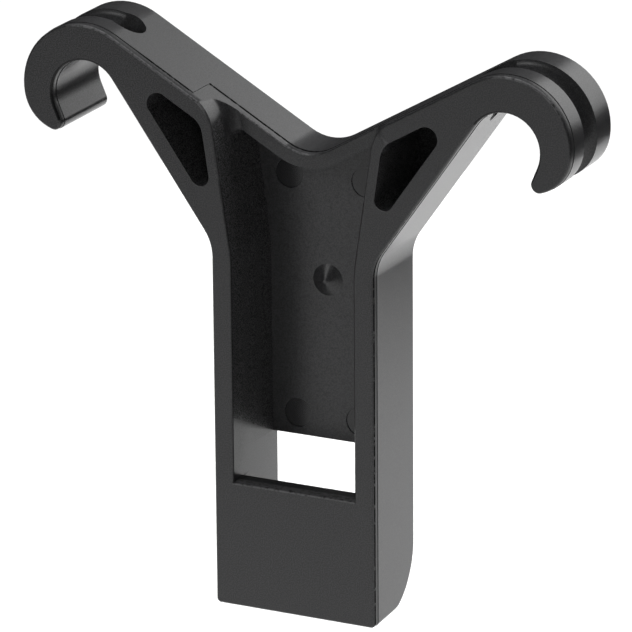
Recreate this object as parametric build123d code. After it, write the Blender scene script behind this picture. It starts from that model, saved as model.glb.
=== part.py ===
from build123d import *
import math
import os

os.makedirs("parts", exist_ok=True)

# Seat rails the part hooks over
rail_diameter = 7.0
rail_spacing = 44.0
rail_clearance = 0.02  # all round, where the bore is tightest

# Whole body: front face at y = 0, rail centres at z = 0
body_depth = 9.5
parting_depth = 0.9  # the two mould halves meet this far behind each front rim
parting_step = 0.05  # the front half stands this much inside the back half
front_draft = 1.0
front_edge_bevel = 0.2
bevel_slope = 45.0
rim_edge_bevel = 0.15

# Hooks
hook_wall = 3.04  # ring's radius beyond the bore's
ring_shift_out = 0.2  # ring centre from rail centre
ring_shift_up = 0.6
lip_angle = -23.0  # the bore ends here, seen from the rail centre
lip_length = 3.25
tip_slope = 18.0
tip_corner_round = 0.85
tip_flat = 0.09  # left between that round and the tip's large outer one

# Arms and their pockets
arm_top_slope = 30.0
arm_under_slope = 55.0
arm_top_wall = 1.75
arm_under_wall = 1.9
pocket_rib = 1.1  # between a pocket and the channel
pocket_floor = 1.5
pocket_draft = 1.5
pocket_edge_bevel = 0.06
pocket_outer_round = 1.15
pocket_bottom_round = 0.95
pocket_inner_round = 2.0

# Cord groove round each hook and the hole it ends in
cord_groove_radius = 1.55
cord_groove_lift = 0.25  # groove centre line outside the ring
cord_hole_x = 19.45
cord_hole_mouth = 3.8  # diameter where it leaves the groove
cord_hole_throat = 1.8  # diameter where it comes into the bore
throat_top = 2.4

# Valley wall between the arms
valley_round = 4.6
valley_wall = 1.3
valley_set_back = 3.5
gap_end_round = 1.3
wall_crest_round = 4.1

# Column and its channel
column_width = 17.2
column_bottom = -49.95
column_top_round = 4.5
column_corner_round = 0.5
column_draft = 1.7  # the sides lean in towards the back
channel_width = 13.0
channel_draft = 2.8
channel_flare = 8.5  # the upper channel walls lean out this much
flare_start = -14.0
flare_round = 14.0
channel_corner_round = 1.0
floor_thickness = 1.5
floor_bottom = -34.2

# Clip plate and the space behind it
plate_top = -37.1
plate_thickness = 2.1
plate_edge_round = 0.3
back_space_width = 12.8
back_space_draft = 0.5
foot_round = 6.1

# Moulding marks on the channel floor
gate_mark_diameter = 3.2
gate_mark_height = 0.7
gate_tip_diameter = 0.4
gate_mark_z = -17.9
pin_mark_diameter = 3.0
pin_mark_depth = 0.1
upper_pin_mark = (4.05, -7.6)
lower_pin_mark = (3.35, -32.0)

rail_x = rail_spacing / 2
bore_radius = rail_diameter / 2 + rail_clearance
ring_radius = bore_radius + hook_wall
column_half = column_width / 2
channel_half = channel_width / 2
floor_depth = body_depth - floor_thickness
cord_depth = body_depth / 2
clear_of_part = 100.0  # longer than the part in any direction


def along(angle):
    return Vector(math.cos(math.radians(angle)), math.sin(math.radians(angle)))


def meet(point_a, angle_a, point_b, angle_b):
    """Where the line through point_a crosses the line through point_b."""
    a = along(angle_a)
    b = along(angle_b)
    gap = point_b - point_a
    reach = (gap.X * b.Y - gap.Y * b.X) / (a.X * b.Y - a.Y * b.X)
    return point_a + a * reach


rail_centre = Vector(rail_x, 0)
ring_centre = Vector(rail_x + ring_shift_out, ring_shift_up)
arm_top_end = ring_centre + along(arm_top_slope + 90) * ring_radius
arm_under_end = rail_centre + along(arm_under_slope + 90) * bore_radius


def arm_top(x, below=0.0):
    """Point at x on the arm's upper face, or on a line that far inside it."""
    drop = below / math.cos(math.radians(arm_top_slope))
    rise = (arm_top_end.X - x) * math.tan(math.radians(arm_top_slope))
    return Vector(x, arm_top_end.Y - rise - drop)


def flared_wall(z, beyond=0.0):
    """Point at height z on the leaning channel wall, or on a line that far outside it."""
    lean = math.radians(channel_flare)
    return Vector(channel_half + (z - flare_start) * math.tan(lean) + beyond / math.cos(lean), z)


def rounded(sketch, corners):
    """Rounds the sketch corners nearest to the given points and to their mirror images, where there are any."""
    for point, radius in corners:
        near = [v for v in sketch.vertices() if abs(abs(v.X) - abs(point.X)) + abs(v.Y - point.Y) < 0.01]
        sketch = fillet(near, radius)
    return sketch


def both_halves(edges):
    """Sketch closed by the edges of its right half and their mirror image."""
    return make_face(edges + mirror(edges, Plane.YZ))


def between(sketch, start, end, draft=0.0):
    """Solid with a front-view sketch as its section at y = start, narrowing by the draft towards y = end."""
    section = Plane(origin=(0, start, 0), x_dir=(1, 0, 0), z_dir=(0, -1, 0)) * sketch
    return extrude(section, amount=start - end, taper=draft)


def arms_outline():
    """Front view of both arms and open hooks, meeting in a point inside the column."""
    lip_start = rail_centre + along(lip_angle) * bore_radius
    lip_end = lip_start + along(lip_angle - 90) * lip_length
    to_centre = ring_centre - lip_end
    nearest = to_centre.dot(along(tip_slope))
    off_centre = to_centre.dot(along(tip_slope + 90))
    half_chord = math.sqrt(ring_radius ** 2 - off_centre ** 2)
    tip_end = lip_end + along(tip_slope) * (nearest + half_chord)
    flat_start = tip_corner_round / math.tan(math.radians(lip_angle + 90 - tip_slope) / 2)
    flat_end = flat_start + tip_flat - nearest
    tip_outer_round = (half_chord ** 2 - flat_end ** 2) / (2 * (ring_radius - off_centre))
    valley = arm_top(0)
    right = Curve() + [
        Line(meet(arm_under_end, arm_under_slope, Vector(0, 0), 90), arm_under_end),
        ThreePointArc(arm_under_end, rail_centre + along(60) * bore_radius, lip_start),
        Polyline(lip_start, lip_end, tip_end),
        ThreePointArc(tip_end, ring_centre + along(30) * ring_radius, arm_top_end),
        Line(arm_top_end, valley),
    ]
    return rounded(both_halves(right), [
        (lip_end, tip_corner_round),
        (tip_end, tip_outer_round),
        (valley, valley_round),
    ])


def column_outline():
    """Front view of the column, up to inside the arms."""
    foot = Vector(column_half, column_bottom)
    top = arm_top(0, arm_top_wall)
    right = Polyline((0, foot.Y), foot, (foot.X, top.Y), top)
    return rounded(both_halves(right), [(foot, column_corner_round)])


def channel_outline():
    """Channel as seen from the front, closed at the top by the valley wall."""
    valley = arm_top(0, valley_wall)
    bend = flared_wall(flare_start)
    corner = meet(bend, 90 - channel_flare, valley, arm_top_slope)
    right = Polyline((0, plate_top), (channel_half, plate_top), bend, corner, valley)
    return rounded(both_halves(right), [
        (bend, flare_round),
        (corner, channel_corner_round),
        (valley, valley_round + valley_wall),
    ])


def notch_outline():
    """Gap between the arms in front of the valley wall, its lower sides rounded over from the arms' upper faces."""
    start = flared_wall(flare_start / 2)
    crest = meet(start, 90 - channel_flare, arm_top(0), arm_top_slope)
    far = arm_top(rail_x)
    right = Polyline((0, start.Y), start, crest, far, (far.X, clear_of_part), (0, clear_of_part))
    return rounded(both_halves(right), [(crest, wall_crest_round)])


def valley_rim_outline():
    """What is above the front rim of the valley wall."""
    valley = arm_top(0, parting_step)
    crest = meet(flared_wall(0), 90 - channel_flare, arm_top(0), arm_top_slope)
    side = arm_top(crest.X + wall_crest_round / 2, parting_step)
    right = Polyline(valley, side, (side.X, clear_of_part), (0, clear_of_part))
    return rounded(both_halves(right), [(valley, valley_round + parting_step)])


def pocket_outline():
    """Tapered triangular pocket in the front of the right arm."""
    upper = arm_top(0, arm_top_wall)
    under = arm_under_end + along(arm_under_slope + 90) * arm_under_wall
    inner = flared_wall(0, pocket_rib)
    outer_corner = meet(upper, arm_top_slope, under, arm_under_slope)
    bottom_corner = meet(under, arm_under_slope, inner, 90 - channel_flare)
    inner_corner = meet(upper, arm_top_slope, inner, 90 - channel_flare)
    outline = make_face(Polyline(outer_corner, bottom_corner, inner_corner, close=True))
    return rounded(outline, [
        (outer_corner, pocket_outer_round),
        (bottom_corner, pocket_bottom_round),
        (inner_corner, pocket_inner_round),
    ])


def front_opening(outline, end, draft, edge_bevel):
    """Opening cut from the front face to y = end, with a bevelled mouth."""
    mouth_width = edge_bevel * (math.tan(math.radians(bevel_slope)) - math.tan(math.radians(draft)))
    mouth = between(offset(outline, mouth_width), 0, edge_bevel, bevel_slope)
    return between(outline, 0, end, draft) + mouth


def moulded_blank():
    """Solid outside form: straight arms, a drafted column, and the front mould half's rim just inside both."""
    arms = arms_outline()
    column = column_outline()
    under_corner = meet(arm_under_end, arm_under_slope, Vector(column_half, 0), 90)
    back = between(arms, parting_depth, body_depth) + between(column, parting_depth, body_depth, column_draft)
    beside_column = [e for e in back.edges() if e.length > body_depth / 2
                     and abs(abs(e.center().X) - under_corner.X) < 1 and abs(e.center().Z - under_corner.Y) < 1]
    back = fillet(beside_column, column_top_round)
    outline = rounded(arms + column, [(under_corner, column_top_round)])
    rim = offset(outline, -parting_step)
    drawn_in = (parting_depth - front_edge_bevel) * math.tan(math.radians(front_draft))
    front = between(rim, parting_depth, front_edge_bevel, front_draft)
    bevel = between(offset(rim, -drawn_in), front_edge_bevel, 0, bevel_slope)
    return back + front + bevel


def front_openings():
    """Channel and gap formed from the front."""
    channel = front_opening(channel_outline(), floor_depth, channel_draft, front_edge_bevel)
    gap = between(notch_outline(), 0, valley_set_back, channel_draft)
    gap = fillet(gap.faces().sort_by(Axis.Y)[-1].edges(), gap_end_round)
    gap += between(offset(notch_outline(), front_edge_bevel), 0, front_edge_bevel, bevel_slope)
    above_rim = valley_rim_outline()
    rim = between(above_rim, 0, valley_set_back + parting_depth)
    bevel_end = valley_set_back + rim_edge_bevel
    bevel = between(offset(above_rim, rim_edge_bevel), valley_set_back, bevel_end, bevel_slope)
    bevel &= between(offset(notch_outline(), -gap_end_round), valley_set_back, bevel_end)
    return channel + gap + rim + bevel


def arm_pockets():
    pocket = front_opening(pocket_outline(), body_depth - pocket_floor, pocket_draft, pocket_edge_bevel)
    return pocket + mirror(pocket, Plane.YZ)


def back_space():
    """Space behind the clip plate, open at the back and below, and under the channel floor."""
    height = floor_bottom - column_bottom
    middle = floor_bottom - height
    outline = Pos(0, middle) * Rectangle(back_space_width, 2 * height)
    return between(outline, body_depth, plate_thickness, back_space_draft)


def foot_corner():
    """What the large round takes off the lower back corner of the foot."""
    corner = Pos(body_depth - foot_round / 2, column_bottom + foot_round / 2) * Rectangle(foot_round, foot_round)
    corner -= Pos(body_depth - foot_round, column_bottom + foot_round) * Circle(foot_round)
    return extrude(Plane.YZ * corner, amount=column_width, both=True)


def cord_groove():
    """Round-bottomed groove over the outside of the right hook, from the tip to the arm."""
    radial = along(-75)
    centre = ring_centre + radial * (ring_radius + cord_groove_lift)
    section = Plane(
        origin=(centre.X, cord_depth, centre.Y),
        x_dir=(radial.X, 0, radial.Y),
        z_dir=(-radial.Y, 0, radial.X),
    ) * Circle(cord_groove_radius)
    axis = Axis((ring_centre.X, cord_depth, ring_centre.Y), (0, -1, 0))
    return revolve(section, axis, revolution_arc=arm_top_slope + 90 + 75)


def cord_hole():
    """Funnel from the groove down into the bore."""
    mouth_z = ring_centre.Y + ring_radius
    standing = (Align.CENTER, Align.CENTER, Align.MIN)
    throat = Cylinder(cord_hole_throat / 2, throat_top, align=standing)
    funnel = Cone(cord_hole_throat / 2, cord_hole_mouth / 2, mouth_z - throat_top, align=standing)
    return Pos(cord_hole_x, cord_depth, 0) * (throat + Pos(0, 0, throat_top) * funnel)


def cord_passages():
    passage = cord_groove() + cord_hole()
    return passage + mirror(passage, Plane.YZ)


def pin_marks():
    marks = Part()
    for x, z in (upper_pin_mark, lower_pin_mark):
        disc = Pos(x, z) * Circle(pin_mark_diameter / 2)
        mark = between(disc, floor_depth, floor_depth + pin_mark_depth)
        marks += mark
        marks += mirror(mark, Plane.YZ)
    return marks


def gate_mark():
    """Low cone left on the channel floor where the plastic came in."""
    place = Plane(origin=(0, floor_depth - gate_mark_height / 2, gate_mark_z), z_dir=(0, -1, 0))
    return place * Cone(gate_mark_diameter / 2, gate_tip_diameter / 2, gate_mark_height)


def plate_edge_eased(body):
    """Body with the top back edge of the clip plate rounded."""
    at_plate_back = body.edges().filter_by(Axis.X).filter_by_position(
        Axis.Y, plate_thickness - 0.01, plate_thickness + 0.01)
    return fillet(at_plate_back.sort_by(Axis.Z)[-1], plate_edge_round)


def mount_body():
    body = moulded_blank() - front_openings() - arm_pockets() - back_space() - foot_corner()
    return plate_edge_eased(body) - cord_passages() - pin_marks() + gate_mark()


export_step(mount_body(), "parts/mount_body.step")
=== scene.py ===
import bpy
import math
from mathutils import Matrix, Vector
from mathutils.bvhtree import BVHTree


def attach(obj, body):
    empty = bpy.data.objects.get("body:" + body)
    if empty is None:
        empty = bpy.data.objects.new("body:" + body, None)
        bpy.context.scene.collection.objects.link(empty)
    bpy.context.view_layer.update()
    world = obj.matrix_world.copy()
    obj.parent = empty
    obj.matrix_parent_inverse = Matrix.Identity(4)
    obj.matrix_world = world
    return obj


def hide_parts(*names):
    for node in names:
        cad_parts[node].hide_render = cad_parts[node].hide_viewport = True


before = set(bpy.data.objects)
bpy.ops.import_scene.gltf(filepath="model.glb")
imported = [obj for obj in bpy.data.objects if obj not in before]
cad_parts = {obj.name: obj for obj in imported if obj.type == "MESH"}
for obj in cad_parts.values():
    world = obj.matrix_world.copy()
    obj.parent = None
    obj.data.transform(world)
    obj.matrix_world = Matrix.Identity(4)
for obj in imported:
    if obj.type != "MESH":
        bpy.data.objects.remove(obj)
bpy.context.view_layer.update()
print("stage: frame loaded")

mm = 0.001


def linear(hexColour):  # from an sRGB hex value
    parts = [int(hexColour[i:i + 2], 16) / 255 for i in (1, 3, 5)]
    return [p / 12.92 if p <= 0.04045 else ((p + 0.055) / 1.055) ** 2.4 for p in parts] + [1.0]


def addNode(tree, kind, settings, inputs, output=0):  # an input is a value, or the socket that feeds it
    node = tree.nodes.new(kind)
    for name, value in settings.items():
        setattr(node, name, value)
    for name, value in inputs.items():
        if isinstance(value, bpy.types.NodeSocket):
            tree.links.new(value, node.inputs[name])
        else:
            node.inputs[name].default_value = value
    return node.outputs[output] if node.outputs else None


def emptyTree(block):
    block.use_nodes = True
    block.node_tree.nodes.clear()
    return block.node_tree


# Glass-filled nylon, injection moulded: black with a soft gloss. The etched mould gives it a fine grain, which is
# coarser and duller on the inner walls. Pocket floors and bore mouths get painted shade. Sizes are in millimetres
nylon = {
    "dark": "#212122", "pale": "#333334",  # the grain's two tones
    "etchedDark": "#0c0c0c", "etchedPale": "#4f4f50",
    # painted shade: pocket floors and bore mouths are darkened towards this colour, by this share
    "paintedShade": "#060606", "paintedShadeShare": 0.7,
    "grain": 0.12, "grainHeight": 0.0015, "etchedHeight": 0.006,  # coarser than the real grain, so that it shows
    "speckFrom": 0.4, "speckTo": 0.62,
    "roughness": 0.3, "etchedRoughness": 0.38, "ior": 1.52, "dull": 0.6,
    "boreGrain": 0.15,  # share of the etched grain in the rail hooks
    "smoothBelow": -30.4, "smoothSlope": 0.475,  # beside the window the channel wall is plain, lower towards the back
}

# Line where the two mould halves meet, just behind the front rims, and deeper over the gap between the arms
parting = {
    "topDepth": 0.88, "sideDepth": 0.3, "gapDepth": 4.36, "gapHalf": 10.69,
    "half": 0.09, "soft": 0.06, "colour": "#050505",
    "breaks": 0.5, "brokenTo": 0.25, "wholeFrom": 0.45,
    "faintFrom": 15, "faintBeyond": 19, "faint": 0.25,  # fainter out on the hooks
}

# Painted highlight: front edges that look upwards are painted paler, and so is the clip plate's top
paintedLight = {
    "colour": "#5c5c5d", "breaks": 0.3, "brokenTo": 0.2, "wholeFrom": 0.6,
    "rims": ((0, 0.21), (3.49, 3.66)),  # how far back the bevelled rims lie
    "plateTop": (-37.3, -37.0), "plateDepth": 0.9, "soft": 0.3,
    "channelFloor": 0.1,  # painted light: the open channel floor is a touch paler than the rest
    "anyDepth": 10,
}

# Discs left by the ejector pins, smoother than the rest
pinMark = {"depth": 8.1, "roughness": 0.2}


def partingShade(tree, coords, place, rimDepth):
    across = addNode(tree, "ShaderNodeMath", {"operation": "ABSOLUTE"}, {0: place["X"]})
    between = (parting["topDepth"] + parting["sideDepth"]) / 2
    onTop = addNode(tree, "ShaderNodeMath", {"operation": "GREATER_THAN"}, {0: rimDepth, 1: between})
    inGap = addNode(tree, "ShaderNodeMath", {"operation": "LESS_THAN"}, {0: across, 1: parting["gapHalf"]})
    overGap = addNode(tree, "ShaderNodeMath", {"operation": "MULTIPLY"}, {0: onTop, 1: inGap})
    depth = addNode(tree, "ShaderNodeMath", {"operation": "MULTIPLY_ADD"}, {
        0: overGap, 1: parting["gapDepth"] - parting["topDepth"], 2: rimDepth})
    away = addNode(tree, "ShaderNodeMath", {"operation": "SUBTRACT"}, {0: place["Y"], 1: depth})
    away = addNode(tree, "ShaderNodeMath", {"operation": "ABSOLUTE"}, {0: away})
    line = addNode(tree, "ShaderNodeMapRange", {"interpolation_type": "SMOOTHSTEP"}, {
        "Value": away, "From Min": parting["half"], "From Max": parting["half"] + parting["soft"],
        "To Min": 1.0, "To Max": 0.0})
    breaks = addNode(tree, "ShaderNodeTexNoise", {}, {
        "Vector": coords, "Scale": 1 / (parting["breaks"] * mm), "Detail": 2.0})
    whole = addNode(tree, "ShaderNodeMapRange", {"interpolation_type": "SMOOTHSTEP"}, {
        "Value": breaks, "From Min": parting["brokenTo"], "From Max": parting["wholeFrom"]})
    strength = addNode(tree, "ShaderNodeMapRange", {"interpolation_type": "SMOOTHSTEP"}, {
        "Value": across, "From Min": parting["faintFrom"], "From Max": parting["faintBeyond"],
        "To Min": 1.0, "To Max": parting["faint"]})
    shade = addNode(tree, "ShaderNodeMath", {"operation": "MULTIPLY"}, {0: line, 1: whole})
    return addNode(tree, "ShaderNodeMath", {"operation": "MULTIPLY"}, {0: shade, 1: strength})


# Share of the painted highlight and painted light, broken by noise and fading out just behind its depth
def paintedLightShare(tree, coords, place, share, depth):
    breaks = addNode(tree, "ShaderNodeTexNoise", {}, {
        "Vector": coords, "Scale": 1 / (paintedLight["breaks"] * mm), "Detail": 1.0})
    whole = addNode(tree, "ShaderNodeMapRange", {"interpolation_type": "SMOOTHSTEP"}, {
        "Value": breaks, "From Min": paintedLight["brokenTo"], "From Max": paintedLight["wholeFrom"]})
    beyond = addNode(tree, "ShaderNodeMath", {"operation": "SUBTRACT"}, {0: place["Y"], 1: depth})
    within = addNode(tree, "ShaderNodeMapRange", {"interpolation_type": "SMOOTHSTEP"}, {
        "Value": beyond, "From Min": 0.0, "From Max": paintedLight["soft"], "To Min": 1.0, "To Max": 0.0})
    share = addNode(tree, "ShaderNodeMath", {"operation": "MULTIPLY"}, {0: share, 1: whole})
    return addNode(tree, "ShaderNodeMath", {"operation": "MULTIPLY"}, {0: share, 1: within})


def makeNylon():
    material = bpy.data.materials.new("blackMouldedNylon")
    tree = emptyTree(material)
    coords = addNode(tree, "ShaderNodeTexCoord", {}, {}, "Object")
    scaled = addNode(tree, "ShaderNodeVectorMath", {"operation": "SCALE"}, {"Vector": coords, "Scale": 1 / mm})
    place = addNode(tree, "ShaderNodeSeparateXYZ", {}, {"Vector": scaled}).node.outputs
    names = ("partingDepth", "etched", "paintedShade", "paintedLight", "paintedLightDepth", "pin")
    marks = {name: addNode(tree, "ShaderNodeAttribute", {"attribute_name": name}, {}, "Fac") for name in names}

    # Etched everywhere above the smooth zone beside the window
    level = addNode(tree, "ShaderNodeMath", {"operation": "MULTIPLY_ADD"}, {
        0: place["Y"], 1: nylon["smoothSlope"], 2: place["Z"]})
    above = addNode(tree, "ShaderNodeMath", {"operation": "GREATER_THAN"}, {0: level, 1: nylon["smoothBelow"]})
    etched = addNode(tree, "ShaderNodeMath", {"operation": "MULTIPLY"}, {0: marks["etched"], 1: above})
    offPin = addNode(tree, "ShaderNodeMath", {"operation": "SUBTRACT"}, {0: 1.0, 1: marks["pin"]})

    # Grain: pale specks on the darker tone, none on the pin discs
    grain = addNode(tree, "ShaderNodeTexNoise", {}, {
        "Vector": coords, "Scale": 1 / (nylon["grain"] * mm), "Detail": 1.0})
    speck = addNode(tree, "ShaderNodeMapRange", {"interpolation_type": "SMOOTHSTEP"}, {
        "Value": grain, "From Min": nylon["speckFrom"], "From Max": nylon["speckTo"]})
    speck = addNode(tree, "ShaderNodeMath", {"operation": "MULTIPLY"}, {0: speck, 1: offPin})
    dark = addNode(tree, "ShaderNodeMix", {"data_type": "RGBA"}, {
        "Factor": etched, 6: linear(nylon["dark"]), 7: linear(nylon["etchedDark"])}, 2)
    pale = addNode(tree, "ShaderNodeMix", {"data_type": "RGBA"}, {
        "Factor": etched, 6: linear(nylon["pale"]), 7: linear(nylon["etchedPale"])}, 2)
    tone = addNode(tree, "ShaderNodeMix", {"data_type": "RGBA"}, {"Factor": speck, 6: dark, 7: pale}, 2)
    # Painted shade: pocket floors and bore mouths mixed towards near-black
    paintedShadeShare = addNode(tree, "ShaderNodeMath", {"operation": "MULTIPLY"}, {
        0: marks["paintedShade"], 1: nylon["paintedShadeShare"]})
    tone = addNode(tree, "ShaderNodeMix", {"data_type": "RGBA"}, {
        "Factor": paintedShadeShare, 6: tone, 7: linear(nylon["paintedShade"])}, 2)
    # Painted highlight on upward-looking front bevels and the plate top, and painted light on the open channel floor
    paler = paintedLightShare(tree, coords, place, marks["paintedLight"], marks["paintedLightDepth"])
    tone = addNode(tree, "ShaderNodeMix", {"data_type": "RGBA"}, {
        "Factor": paler, 6: tone, 7: linear(paintedLight["colour"])}, 2)
    shade = partingShade(tree, coords, place, marks["partingDepth"])
    tone = addNode(tree, "ShaderNodeMix", {"data_type": "RGBA"}, {
        "Factor": shade, 6: tone, 7: linear(parting["colour"])}, 2)

    height = addNode(tree, "ShaderNodeMath", {"operation": "MULTIPLY_ADD"}, {
        0: etched, 1: (nylon["etchedHeight"] - nylon["grainHeight"]) * mm, 2: nylon["grainHeight"] * mm})
    bump = addNode(tree, "ShaderNodeBump", {}, {"Height": grain, "Strength": offPin, "Distance": height})
    roughness = addNode(tree, "ShaderNodeMath", {"operation": "MULTIPLY_ADD"}, {
        0: marks["pin"], 1: pinMark["roughness"] - nylon["roughness"], 2: nylon["roughness"]})
    roughness = addNode(tree, "ShaderNodeMath", {"operation": "MULTIPLY_ADD"}, {
        0: etched, 1: nylon["etchedRoughness"] - nylon["roughness"], 2: roughness})

    # Less reflection off etched walls and the parting line, and off pocket floors and bore mouths to deepen their
    # painted shade: 0.5 is the plain plastic's
    dull = addNode(tree, "ShaderNodeMath", {"operation": "MAXIMUM"}, {0: marks["paintedShade"], 1: etched})
    dull = addNode(tree, "ShaderNodeMath", {"operation": "MULTIPLY"}, {0: dull, 1: nylon["dull"]})
    dull = addNode(tree, "ShaderNodeMath", {"operation": "MAXIMUM"}, {0: shade, 1: dull})
    reflection = addNode(tree, "ShaderNodeMath", {"operation": "MULTIPLY_ADD"}, {0: dull, 1: -0.5, 2: 0.5})
    shader = addNode(tree, "ShaderNodeBsdfPrincipled", {}, {
        "Base Color": tone, "Roughness": roughness, "IOR": nylon["ior"],
        "Specular IOR Level": reflection, "Normal": bump})
    addNode(tree, "ShaderNodeOutputMaterial", {}, {"Surface": shader})
    return material


# Cone left on the channel floor where the plastic came in
gateMark = {"z": -17.9, "depths": (8.0, 7.3), "within": 1.7}

# The moulded body: the CAD surface joined up, with smooth shading on its rounds
body = {
    "mergeWithin": 0.002, "flatWithin": 0.2, "smoothUnder": 50,
    "railAt": 22, "boreWithin": 3.8, "boreMouth": 1.2,
    "etchedHalf": 16.5,  # the inner walls of the arms end here
    "plateHalf": 7, "plateFrom": -38, "plateTo": -36,
    "floorFrom": 7, "channelFloorTo": 8.05,
}


def paintedLightMark(normal, depth):  # painted highlight: whole on bevels that look up, fading where they turn sideways
    onRim = any(low < depth < high for low, high in paintedLight["rims"])
    if not onRim or not -0.95 < normal.y < -0.4:
        return 0.0
    return min(max((normal.z - 0.3) / 0.2, 0), 1) * min(max((normal.x + 0.2) / 0.2, 0), 1)


def faceMarks(face, surface):
    x, y, z = face.center / mm
    normal = face.normal
    facesFront = normal.y < -0.9
    blocked = bool(surface.ray_cast(face.center + normal * 0.01 * mm, normal)[0])  # looks at another wall
    inBore = math.hypot(abs(x) - body["railAt"], z) < body["boreWithin"]
    boreMouth = inBore and y < body["boreMouth"] and -0.95 < normal.y < -0.15
    overPlate = abs(x) < body["plateHalf"] and body["plateFrom"] < z < body["plateTo"]
    onPlateTop = normal.z > 0.9 and paintedLight["plateTop"][0] < z < paintedLight["plateTop"][1]
    onFloor = facesFront and y > body["floorFrom"]
    pocketFloor = onFloor and abs(x) > body["plateHalf"]
    channelFloor = onFloor and not pocketFloor and y < body["channelFloorTo"]
    innerWall = blocked and abs(normal.y) < 0.5
    rimDepth = parting["topDepth"] if normal.z > 0.2 else parting["sideDepth"]
    # painted highlight on upward-looking bevels and the plate top, painted light on the open channel floor
    paler = paintedLight["channelFloor"] if channelFloor else paintedLightMark(normal, y)
    return {
        "partingDepth": -10 if inBore or blocked or overPlate else rimDepth,  # -10: no line
        "etched": nylon["boreGrain"] if inBore else abs(x) < body["etchedHalf"] and (innerWall or pocketFloor),
        # painted shade on the pocket floors and bore mouths
        "paintedShade": pocketFloor or boreMouth,
        "paintedLight": 1 if onPlateTop else paler,
        "paintedLightDepth": paintedLight["plateDepth"] if onPlateTop else paintedLight["anyDepth"],
        "pin": facesFront and abs(y - pinMark["depth"]) < 0.01,
    }


def markFaces(mesh):
    surface = BVHTree.FromPolygons([v.co for v in mesh.vertices], [list(f.vertices) for f in mesh.polygons])
    marks = [faceMarks(face, surface) for face in mesh.polygons]
    for name in marks[0]:
        attribute = mesh.attributes.new(name, "FLOAT", "FACE")
        attribute.data.foreach_set("value", [float(mark[name]) for mark in marks])


def sharpenGateMark(mesh):  # the cone's foot and tip stay crisp
    for edge in mesh.edges:
        x, y, z = (mesh.vertices[edge.vertices[0]].co + mesh.vertices[edge.vertices[1]].co) / 2 / mm
        level = any(abs(y - depth) < 0.02 for depth in gateMark["depths"])
        if level and math.hypot(x, z - gateMark["z"]) < gateMark["within"]:
            edge.use_edge_sharp = True


def makeBody():
    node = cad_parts["mount_body"]
    mesh = node.data.copy()
    mesh.transform(node.matrix_world)
    piece = bpy.data.objects.new("mouldedBody", mesh)
    bpy.context.scene.collection.objects.link(piece)
    bpy.ops.object.select_all(action="DESELECT")
    bpy.context.view_layer.objects.active = piece
    piece.select_set(True)
    bpy.ops.object.mode_set(mode="EDIT")
    bpy.ops.mesh.select_all(action="SELECT")
    bpy.ops.mesh.remove_doubles(threshold=body["mergeWithin"] * mm)
    bpy.ops.mesh.normals_make_consistent(inside=False)
    bpy.ops.mesh.dissolve_limited(angle_limit=math.radians(body["flatWithin"]))
    bpy.ops.object.mode_set(mode="OBJECT")
    bpy.ops.mesh.customdata_custom_splitnormals_clear()
    bpy.ops.object.shade_smooth_by_angle(angle=math.radians(body["smoothUnder"]))
    sharpenGateMark(piece.data)
    weighted = piece.modifiers.new("weighted", "WEIGHTED_NORMAL")  # keeps the flat faces flat beside the rounds
    weighted.keep_sharp = True
    bpy.ops.object.modifier_apply(modifier=weighted.name)
    markFaces(piece.data)
    piece.data.materials.clear()
    piece.data.materials.append(makeNylon())
    return piece


dressed = makeBody()
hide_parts("mount_body")
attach(dressed, "root")
print("stage: body dressed")

# Matt white table top below the hanging part, which ends behind it on the right
floor = {"z": -100, "centre": (-60, -120), "radius": 420, "narrowed": 0.74, "sides": 96, "colour": "#f4f4f4"}


def makeFloor():
    bpy.ops.object.select_all(action="DESELECT")
    x, y = floor["centre"]
    bpy.ops.mesh.primitive_circle_add(vertices=floor["sides"], radius=floor["radius"] * mm, fill_type="NGON",
                                      location=(x * mm, y * mm, floor["z"] * mm))
    bpy.ops.transform.resize(value=(floor["narrowed"], 1, 1))
    bpy.ops.object.transform_apply(location=True, rotation=False, scale=True)
    piece = bpy.context.active_object
    piece.name = "floor"
    material = bpy.data.materials.new("mattWhitePaper")  # paper: no gloss, so it only lights the part softly
    tree = emptyTree(material)
    shader = addNode(tree, "ShaderNodeBsdfDiffuse", {}, {"Color": linear(floor["colour"])})
    addNode(tree, "ShaderNodeOutputMaterial", {}, {"Surface": shader})
    piece.data.materials.append(material)


makeFloor()

# Surroundings, white to the camera. They light the part as a bright ceiling, lower on its right, over a dark wall
room = {
    "wall": 0.015, "ceiling": 0.14, "ceilingStart": 0.17, "ceilingFull": 0.36, "tilt": 0.3,
    "front": 0.051, "frontStart": 0.7, "frontFull": 0.3,  # towards +Y, where the front's light starts and is whole
    "white": 1.05,
}


def makeWorld():
    world = bpy.data.worlds.new("studio")
    bpy.context.scene.world = world
    tree = emptyTree(world)
    coords = addNode(tree, "ShaderNodeTexCoord", {}, {}, "Generated")
    direction = addNode(tree, "ShaderNodeSeparateXYZ", {}, {"Vector": coords}).node.outputs
    height = addNode(tree, "ShaderNodeMath", {"operation": "MULTIPLY_ADD"}, {
        0: direction["X"], 1: room["tilt"], 2: direction["Z"]})
    back = addNode(tree, "ShaderNodeMapRange", {"interpolation_type": "SMOOTHSTEP"}, {
        "Value": height, "From Min": room["ceilingStart"], "From Max": room["ceilingFull"],
        "To Min": room["wall"], "To Max": room["wall"] + room["ceiling"]})
    toFront = addNode(tree, "ShaderNodeMapRange", {"interpolation_type": "SMOOTHSTEP"}, {
        "Value": direction["Y"], "From Min": room["frontStart"], "From Max": room["frontFull"]})
    level = addNode(tree, "ShaderNodeMix", {}, {"Factor": toFront, "A": back, "B": room["front"]})
    toCamera = addNode(tree, "ShaderNodeLightPath", {}, {}, "Is Camera Ray")
    seen = addNode(tree, "ShaderNodeMix", {}, {"Factor": toCamera, "A": level, "B": room["white"]})
    shader = addNode(tree, "ShaderNodeBackground", {}, {"Color": (1, 1, 1, 1), "Strength": seen})
    addNode(tree, "ShaderNodeOutputWorld", {}, {"Surface": shader})


makeWorld()

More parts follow.
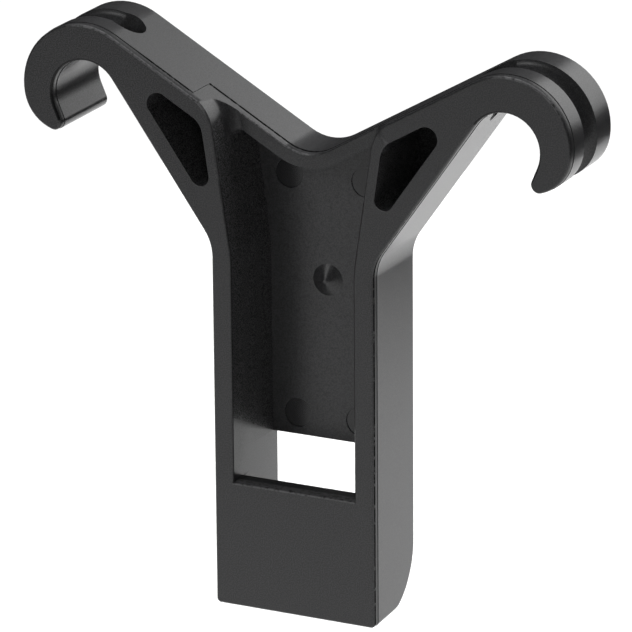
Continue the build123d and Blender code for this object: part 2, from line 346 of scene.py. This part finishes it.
# Square soft lamps, in millimetres and watts; those that don't shine leave no highlight on the part
lamps = {
    "keyLeft": {"at": (-335, -629, 363), "towards": (0, 0, 0), "size": 180, "power": 0.4, "shines": True},
    "keySoft": {"at": (-335, -629, 363), "towards": (0, 0, 0), "size": 350, "power": 1.45, "shines": False},
    "backRight": {"at": (255, 695, 270), "towards": (0, 0, 0), "size": 550, "power": 1.88, "shines": True},
    "overhead": {"at": (-40, 330, 500), "towards": (-40, 260, 0), "size": 500, "power": 1.9, "shines": False},
    "floorBack": {"at": (0, 220, 250), "towards": (0, 220, 0), "size": 400, "power": 1.6, "shines": False},
    "fill": {"at": (215, -440, 150), "towards": (0, 0, 0), "size": 200, "power": 0.42, "shines": False},
}


def makeLamp(name, lamp):
    data = bpy.data.lights.new(name, "AREA")
    data.energy = lamp["power"]
    data.size = lamp["size"] * mm
    piece = bpy.data.objects.new(name, data)
    piece.location = Vector(lamp["at"]) * mm
    away = Vector(lamp["at"]) - Vector(lamp["towards"])
    piece.rotation_euler = away.to_track_quat("Z", "Y").to_euler()
    piece.visible_glossy = lamp["shines"]
    bpy.context.scene.collection.objects.link(piece)


for lampName in lamps:
    makeLamp(lampName, lamps[lampName])
print("stage: floor and light")

# Camera at the photo's angle, in millimetres and degrees
view = {
    "target": (2.57, 0, -18.8), "yaw": 25.99, "pitch": 18.46, "roll": 0.47, "distance": 490.9,
    "lens": 293.7, "sensor": 36, "near": 50, "far": 10000,
}


def makeCamera():
    yaw, pitch, roll = (math.radians(view[name]) for name in ("yaw", "pitch", "roll"))
    forward = Vector((-math.sin(yaw) * math.cos(pitch), math.cos(yaw) * math.cos(pitch), -math.sin(pitch)))
    right = Vector((math.cos(yaw), math.sin(yaw), 0))
    down = forward.cross(right)
    across = math.cos(roll) * right + math.sin(roll) * down
    up = math.sin(roll) * right - math.cos(roll) * down
    data = bpy.data.cameras.new("camera")
    data.lens = view["lens"]
    data.sensor_width = view["sensor"]
    data.clip_start = view["near"] * mm
    data.clip_end = view["far"] * mm
    piece = bpy.data.objects.new("camera", data)
    turn = Matrix((across, up, -forward)).transposed().to_4x4()
    place = (Vector(view["target"]) - forward * view["distance"]) * mm
    piece.matrix_world = Matrix.Translation(place) @ turn
    bpy.context.scene.collection.objects.link(piece)
    bpy.context.scene.camera = piece


makeCamera()
bpy.context.scene.view_settings.view_transform = "Standard"
print("stage: camera")
